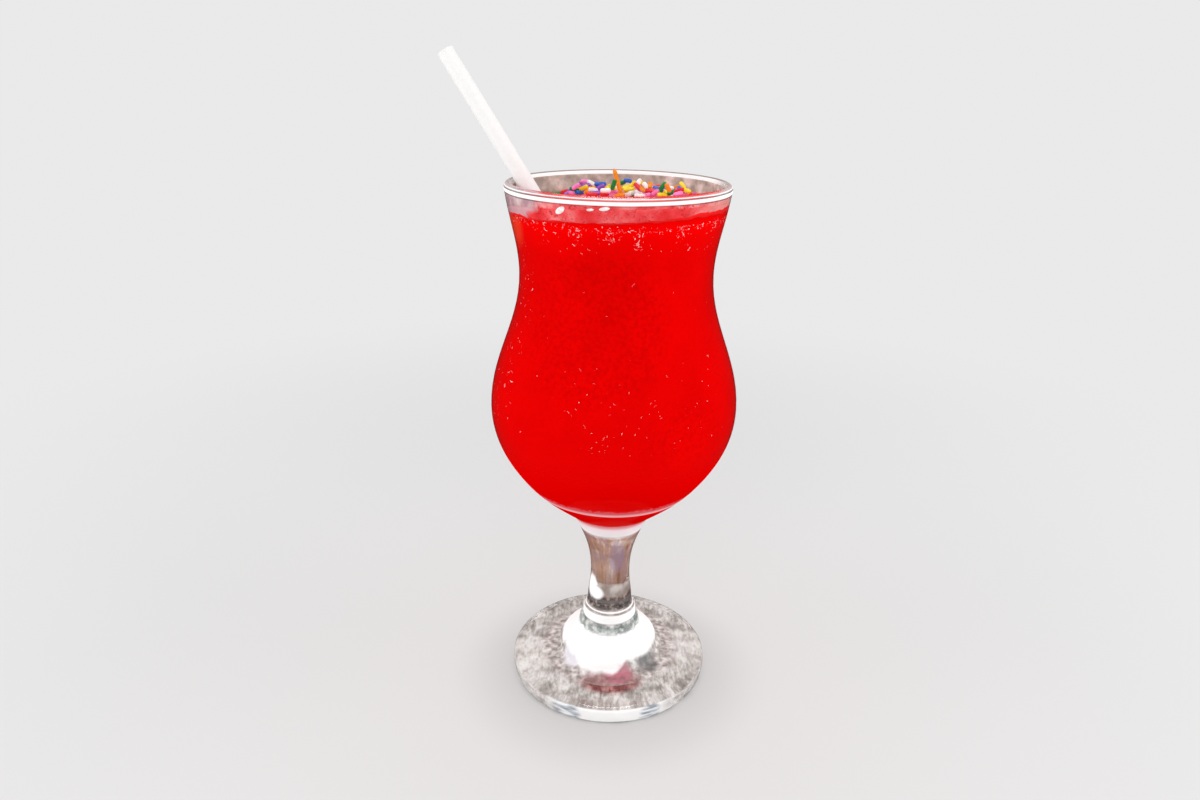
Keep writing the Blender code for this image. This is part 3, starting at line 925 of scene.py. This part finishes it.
# The sprinkles: short rods of pressed sugar in mixed colours, strewn over the froth's mound. One rod
# is shaped and copied. The ones that show at the front lie where the photograph has them, as pixels
# across and down, and each one comes to rest on the froth or on the sprinkles under it.
SPRINKLE_RADIUS = 0.64
SPRINKLE_SIDES = 12
SPRINKLE_LENGTHS = (3.0, 4.6)
SPRINKLE_SINK = 0.45
SPRINKLE_STACK = 1.9 * SPRINKLE_RADIUS
ROUNDED_END = SPRINKLE_RADIUS * 0.6
ROD_LENGTH = 4.0
SPRINKLE_SPREAD = 22.0
SPRINKLE_LAYER = 120
SPRINKLE_SEED = 11
HEAP_OUTLINE = (
    (562, 191), (575, 187), (585, 183), (600, 181), (620, 178.5), (640, 180), (660, 184), (675, 187),
    (690, 191),
)
HEAP_FRONT = 196
HEAP_IN_SIGHT = (270.0, 335.0, 0.25)
HEAP_REACH = 30.0
FILLING_COUNT = 110
FILLING_GAP = 3.8
LONG_SPRINKLE_COLUMN, LONG_SPRINKLE_WIDTH = 617, 4
LONG_SPRINKLE_CLEAR = 3.2
LONG_SPRINKLE_BASE = (1.3, -14.0)
LONG_SPRINKLE_SUNK = 1.5
LONG_SPRINKLE_LENGTH = 10.1
LONG_SPRINKLE_LEAN = 17.0
SUGAR_COLOURS = {
    "orange": "#FF9A14",
    "yellow": "#FFE81C",
    "green": "#128A3A",
    "blue": "#2C6CD2",
    "violet": "#A55CD0",
    "pink": "#FF8AD0",
    "red": "#F01E2C",
    "white": "#FFFBFA",
}
SUGAR_GRAIN = 1.2
STREWN_MIX = "white pink orange yellow violet green blue red white pink orange yellow".split()
SEEN_SPRINKLES = (
    (564.6, 191.5, "red", 10), (568.8, 193.0, "violet", 30), (573.0, 193.0, "pink", -5),
    (574.6, 189.4, "green", 0), (580.4, 192.3, "blue", 12), (585.0, 181.5, "pink", 5),
    (591.6, 183.2, "white", -30), (586.0, 185.2, "violet", -8), (598.6, 185.7, "blue", -22),
    (599.5, 187.7, "violet", 20), (583.7, 188.1, "yellow", 15), (587.8, 190.6, "orange", 35),
    (593.0, 190.0, "white", 0), (597.0, 193.0, "violet", 5), (604.4, 194.0, "red", -15),
    (611.9, 191.5, "pink", 0), (611.0, 188.1, "yellow", 10), (613.5, 184.8, "green", 70),
    (621.5, 182.5, "green", 15), (627.8, 180.7, "blue", 5), (626.6, 187.3, "yellow", 25),
    (632.4, 184.8, "yellow", 40), (629.0, 189.5, "yellow", 5), (638.6, 182.0, "white", 60),
    (637.8, 186.5, "red", -50), (643.6, 189.8, "orange", -43), (646.5, 186.5, "white", -50),
    (650.2, 185.2, "orange", 80), (658.0, 189.0, "blue", -20), (662.0, 187.3, "green", 50),
    (650.6, 190.8, "red", -10), (654.8, 193.0, "pink", 25), (663.0, 195.2, "yellow", 0),
    (671.8, 192.3, "green", 30), (668.0, 188.0, "orange", -60), (686.3, 190.6, "yellow", -32),
    (678.8, 190.8, "red", 15), (632.4, 193.0, "white", 20), (638.0, 193.5, "white", -25),
    (646.0, 195.5, "pink", 0), (627.0, 195.0, "white", 10), (678.0, 194.0, "pink", 20),
    (592.0, 194.5, "red", 0), (620.0, 195.6, "orange", 0), (605.5, 190.5, "white", 0),
    (640.0, 196.0, "white", -5), (556.0, 193.5, "green", 0), (576.0, 186.5, "pink", 25),
)


def sprinkle_template():
    """A rod along Z with rounded ends."""
    bpy.ops.mesh.primitive_cylinder_add(vertices=SPRINKLE_SIDES, radius=SPRINKLE_RADIUS, depth=ROD_LENGTH)
    rod = bpy.context.object
    bpy.ops.object.mode_set(mode="EDIT")
    bpy.ops.mesh.select_all(action="DESELECT")
    bpy.ops.object.mode_set(mode="OBJECT")
    for edge in rod.data.edges:
        ends = [rod.data.vertices[i].co.z for i in edge.vertices]
        edge.select = abs(ends[0] - ends[1]) < CLOSE
    bpy.ops.object.mode_set(mode="EDIT")
    bpy.ops.mesh.select_mode(type="EDGE")
    bpy.ops.mesh.bevel(offset=0.5, segments=2)
    bpy.ops.object.mode_set(mode="OBJECT")
    bpy.ops.object.shade_smooth_by_angle(angle=math.radians(60))
    bpy.ops.object.select_all(action="DESELECT")
    return rod


def rest_height(x, y, laid):
    """Lowest height of a sprinkle's axis over a place, on the froth or on the sprinkles there."""
    height = froth_top(x, y) + SPRINKLE_RADIUS - SPRINKLE_SINK
    here = Vector((x, y))
    for start, end in laid:
        along = (end - start).xy
        share = max(0.0, min(1.0, (here - start.xy).dot(along) / max(along.length_squared, 1e-9)))
        gap = (here - start.xy - along * share).length
        if gap < SPRINKLE_STACK:
            lift = math.sqrt(SPRINKLE_STACK**2 - gap * gap)
            height = max(height, start.z + (end.z - start.z) * share + lift)
    return height


def lay_down(x, y, turn, length, laid):
    """The ends of a sprinkle let down over a place: it tips until it rests on both sides of its middle."""
    flat = heading(turn)
    half = length / 2 - ROUNDED_END
    steps = [half * i / 4 for i in range(-4, 5)]
    props = [(s, rest_height(x + flat.x * s, y + flat.y * s, laid)) for s in steps]
    level = max(
        left[1] + (right[1] - left[1]) * -left[0] / (right[0] - left[0])
        for left in props[:5] for right in props[4:] if right[0] > left[0]
    )
    level = max(level, props[4][1])
    steepest = max((prop - level) / s for s, prop in props[5:])
    flattest = min((level - prop) / -s for s, prop in props[:4])
    tip = max(steepest, min(0.0, flattest))
    way = Vector((flat.x, flat.y, tip)).normalized()
    return Vector((x, y, level)) - way * half, Vector((x, y, level)) + way * half


def set_down(across, down, lean, away, length, laid):
    """The ends of a sprinkle that the photograph shows at a pixel, at a lean in the picture and
    turned away from it: it moves along the line of sight until a third of it touches the heap."""
    flat = heading(lean) * math.cos(math.radians(away))
    way = camera_turn() @ Vector((flat.x, flat.y, math.sin(math.radians(away))))
    half = length / 2 - ROUNDED_END
    best, best_gap = None, None
    for middle in points_in_sight(across, down, *HEAP_IN_SIGHT):
        if math.hypot(middle.x, middle.y) > HEAP_REACH:
            continue
        gaps = []
        for s in (-1, -0.5, 0, 0.5, 1):
            point = middle + way * half * s
            gaps.append(point.z - rest_height(point.x, point.y, laid))
        gap = sorted(gaps)[1]
        if best_gap is None or gap < best_gap:
            best, best_gap = middle, gap
        if gap <= 0:
            break
    best = best - Vector((0, 0, max(best_gap, 0.0)))
    return best - way * half, best + way * half


def heap_edge(across):
    """Where the heap's upper edge is in the photograph, in a column of pixels."""
    for (left, first), (right, second) in zip(HEAP_OUTLINE, HEAP_OUTLINE[1:]):
        if left <= across <= right:
            return first + (second - first) * (across - left) / (right - left)
    return HEAP_FRONT


def is_behind_long(across):
    return abs(across - LONG_SPRINKLE_COLUMN) < LONG_SPRINKLE_WIDTH


def strew_sprinkles():
    """The sprinkles of each colour: a layer strewn by chance, fillings between the ones that show,
    the ones that show, and the long one that stands upright."""
    draw = random.Random(SPRINKLE_SEED)
    template = sprinkle_template()
    copies = {colour: [] for colour in SUGAR_COLOURS}
    laid = []

    def keep(ends, colour):
        start, end = ends
        laid.append(ends)
        length = (end - start).length + 2 * ROUNDED_END
        turn = (end - start).to_track_quat("Z", "Y").to_matrix().to_4x4()
        stretch = Matrix.Diagonal((1, 1, length / ROD_LENGTH, 1))
        matrix = Matrix.Scale(MM, 4) @ Matrix.Translation((start + end) / 2) @ turn @ stretch
        set_copy(template, matrix, copies[colour])

    golden_turn = 180 * (3 - math.sqrt(5))
    order = list(range(SPRINKLE_LAYER))
    draw.shuffle(order)
    for step in order:
        out = SPRINKLE_SPREAD * math.sqrt((step + 0.5) / SPRINKLE_LAYER)
        place = Vector(MOUND_CENTRE) + heading(step * golden_turn + draw.uniform(-6, 6)) * out
        by_long = abs(place.x - LONG_SPRINKLE_BASE[0]) < LONG_SPRINKLE_CLEAR
        if by_long and place.y < LONG_SPRINKLE_BASE[1] + 2:
            continue
        ends = lay_down(place.x, place.y, draw.uniform(0, 360), draw.uniform(*SPRINKLE_LENGTHS), laid)
        keep(ends, draw.choice(STREWN_MIX))
    seen = [entry[:2] for entry in SEEN_SPRINKLES]
    for _ in range(FILLING_COUNT):
        across = draw.uniform(HEAP_OUTLINE[0][0], HEAP_OUTLINE[-1][0])
        down = draw.uniform(heap_edge(across) + 3, HEAP_FRONT)
        if min(math.dist((across, down), other) for other in seen) < FILLING_GAP or is_behind_long(across):
            continue
        seen.append((across, down))
        lean, away = draw.uniform(-50, 50), draw.uniform(-60, 60)
        keep(set_down(across, down, lean, away, draw.uniform(2.8, 3.8), laid), draw.choice(STREWN_MIX))
    for across, down, colour, lean in SEEN_SPRINKLES:
        away = draw.choice((-1, 1)) * draw.uniform(5, 50)
        keep(set_down(across, down, lean, away, draw.uniform(3.2, 4.2), laid), colour)
    foot = Vector((*LONG_SPRINKLE_BASE, 0.0))
    foot.z = froth_top(foot.x, foot.y) + 0.7 - LONG_SPRINKLE_SUNK
    lean = math.radians(LONG_SPRINKLE_LEAN)
    up = Vector((-math.sin(lean), 0, math.cos(lean)))
    keep((foot + up * 0.4, foot + up * (LONG_SPRINKLE_LENGTH - 0.4)), "orange")
    bpy.data.objects.remove(template)
    return {colour: join_copies(f"{colour}_sprinkles", rods) for colour, rods in copies.items()}


def sugar_finish(colour, code):
    """Pressed and glazed sugar paste: dyed through, faintly uneven, with a low gloss."""
    made, place, _ = new_material(f"{colour}_glazed_sugar")
    dye = add_node("TexNoise", {"Vector": place, "Scale": 1 / SUGAR_GRAIN, "Detail": 3.0})
    shade = mix(ease(dye, 0.3, 0.7, 0.0, 0.22), code, (0.35, 0.2, 0.2, 1.0), "MULTIPLY")
    return surface(made, add_node("BsdfPrincipled", {"Base Color": shade, "Roughness": 0.38}))


for colour, sprinkles in strew_sprinkles().items():
    sprinkles.data.materials.append(sugar_finish(colour, SUGAR_COLOURS[colour]))
    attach(sprinkles, "root")
    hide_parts("froth")

# The straw: a plain white paper straw, 5.8 mm across, with its inner wall and fine rounded ends.
# It leans on the rim's inner edge.
STRAW_RADIUS = 2.9
STRAW_WALL = 0.4
STRAW_LEAN = 33.7
STRAW_TURN = 15.0
STRAW_ABOVE_RIM = 48.0
STRAW_BELOW_RIM = 118.0


def make_straw():
    length = (STRAW_ABOVE_RIM + STRAW_BELOW_RIM) * MM
    bpy.ops.mesh.primitive_cylinder_add(
        vertices=48, radius=STRAW_RADIUS * MM, depth=length, end_fill_type="NOTHING",
        location=(0, 0, length / 2 - STRAW_BELOW_RIM * MM),
    )
    tube = bpy.context.object
    tube.name = "white_straw"
    wall = tube.modifiers.new("wall", "SOLIDIFY")
    wall.thickness = STRAW_WALL * MM
    wall.offset = -1
    bpy.ops.object.modifier_apply(modifier="wall")
    edges = tube.modifiers.new("edges", "BEVEL")
    edges.width = 0.09 * MM
    edges.segments = 2
    edges.angle_limit = math.radians(60)
    bpy.ops.object.modifier_apply(modifier="edges")
    bpy.ops.object.shade_smooth_by_angle(angle=math.radians(40))
    bpy.ops.object.transform_apply(location=True, rotation=True, scale=True)
    lean, turn = math.radians(STRAW_LEAN), math.radians(STRAW_TURN)
    way = Vector((-math.sin(lean) * math.cos(turn), math.sin(lean) * math.sin(turn), math.cos(lean)))
    tube.location = Vector(STRAW_AT_RIM) * MM
    tube.rotation_euler = way.to_track_quat("Z", "Y").to_euler()
    bpy.ops.object.transform_apply(location=True, rotation=True, scale=True)
    bpy.ops.object.select_all(action="DESELECT")
    return tube


def straw_finish():
    """Coated white paper: matt, and barely uneven."""
    matt = {"Roughness": 0.6, "Specular IOR Level": 0.1}
    return mottled_finish("white_straw_paper", 1.4, ((0.3, "#E8E7E6"), (0.7, "#ECEBEA")), matt, 3.0)


straw = make_straw()
straw.data.materials.append(straw_finish())
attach(straw, "root")
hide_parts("straw")

# The studio: a plain pale floor that runs out to an even pale horizon, a soft lamp at the side for
# shape, lamps that show only as gloss on the glass, and the photograph's view from above the rim.
FLOOR_SHADE = 0.56
FLOOR_GLOW = 0.15
LIT_FLOOR_REACH = (200.0, 550.0)
SKY_GLOW = 0.82
FLAG_GLOW = 0.55


def make_floor():
    """Matt and lit round the glass, with a painted soft shadow at its foot, and as pale as the horizon
    beyond.
    """
    bpy.ops.mesh.primitive_plane_add(size=60, location=(0, 0, -0.05 * MM))
    floor = bpy.context.object
    floor.name = "stage_floor"
    floor.visible_glossy = False
    made, place, _ = new_material("pale_floor")
    # A painted soft shadow round the foot.
    by_foot = add_node("VectorMath", (place, (0, -4, 0)), "Value", operation="DISTANCE")
    shade = ease(by_foot, 38, 66, 0.88, 1.0)
    matt = add_node("BsdfDiffuse", (times(shade, FLOOR_SHADE),))
    glow = add_node("Emission", ("#FFFFFF", times(shade, FLOOR_GLOW)))
    near = add_node("AddShader", (matt, glow))
    even = add_node("Emission", ("#FFFFFF", SKY_GLOW), tree=made.node_tree)
    away = add_node("VectorMath", (place,), "Value", operation="LENGTH")
    both = add_node("MixShader", (ease(away, *LIT_FLOOR_REACH), near, even))
    floor.data.materials.append(surface(made, both))


def make_sky():
    """Even and pale where it is looked at or lights a matt surface. Seen through glass it darkens
    to the sides, and in reflections it is dark at the horizon and bright overhead, so that the
    glass has clear lines."""
    world = bpy.data.worlds.new("studio")
    bpy.context.scene.world = world
    world.use_nodes = True
    tree = world.node_tree
    tree.nodes.clear()
    way = add_node("SeparateXYZ", (add_node("TexCoord", output="Generated", tree=tree),)).node.outputs
    to_side = add_node("Math", (way["X"],), operation="ABSOLUTE")
    path = add_node("LightPath", tree=tree).node.outputs
    glow = ease(way["Z"], 0.35, 0.95, 0.015, 1.3)
    for kind, strength in (
        ("Is Transmission Ray", ease(to_side, 0.6, 0.95, SKY_GLOW, FLAG_GLOW)),
        ("Is Diffuse Ray", SKY_GLOW),
        ("Is Camera Ray", SKY_GLOW),
    ):
        glow = add_node("Mix", {"Factor": path[kind], "A": glow, "B": strength}, "Result")
    sky = add_node("Background", ("#FFFFFF", glow))
    tree.links.new(sky, tree.nodes.new("ShaderNodeOutputWorld").inputs["Surface"])


def add_lamp(name, place, size, power, **sees):
    """A soft square lamp at a place in metres that faces the glass."""
    bpy.ops.object.light_add(type="AREA", location=place)
    lamp = bpy.context.object
    lamp.name = name
    lamp.data.size = size
    lamp.data.energy = power
    way = Vector((0, 0, 0.11)) - Vector(place)
    lamp.rotation_euler = way.to_track_quat("-Z", "Y").to_euler()
    for what, seen in sees.items():
        setattr(lamp, what, seen)
    return lamp


def make_camera():
    bpy.ops.object.camera_add()
    camera = bpy.context.object
    camera.data.sensor_width = 36
    camera.data.lens = PHOTO_FOCAL / (2 * PHOTO_CENTRE[0]) * 36
    camera.data.clip_start = 0.01
    camera.matrix_world = Matrix.Translation(Vector(CAMERA_PLACE) * MM) @ camera_turn().to_4x4()
    bpy.context.scene.camera = camera


make_floor()
make_sky()
add_lamp("lamp_left", (-0.8, -0.15, 0.4), 0.6, 2.4, visible_glossy=False)
add_lamp("lamp_right", (0.8, -0.1, 0.4), 0.6, 2.9, visible_glossy=False)
add_lamp("lamp_front", (-0.1, -1.0, 0.6), 0.8, 2.5, visible_glossy=False)
add_lamp("gloss_above", (0.0, -0.1, 0.75), 0.4, 3.0, visible_diffuse=False)
make_camera()
bpy.context.scene.view_settings.view_transform = "Standard"
bpy.context.scene.cycles.use_denoising = True
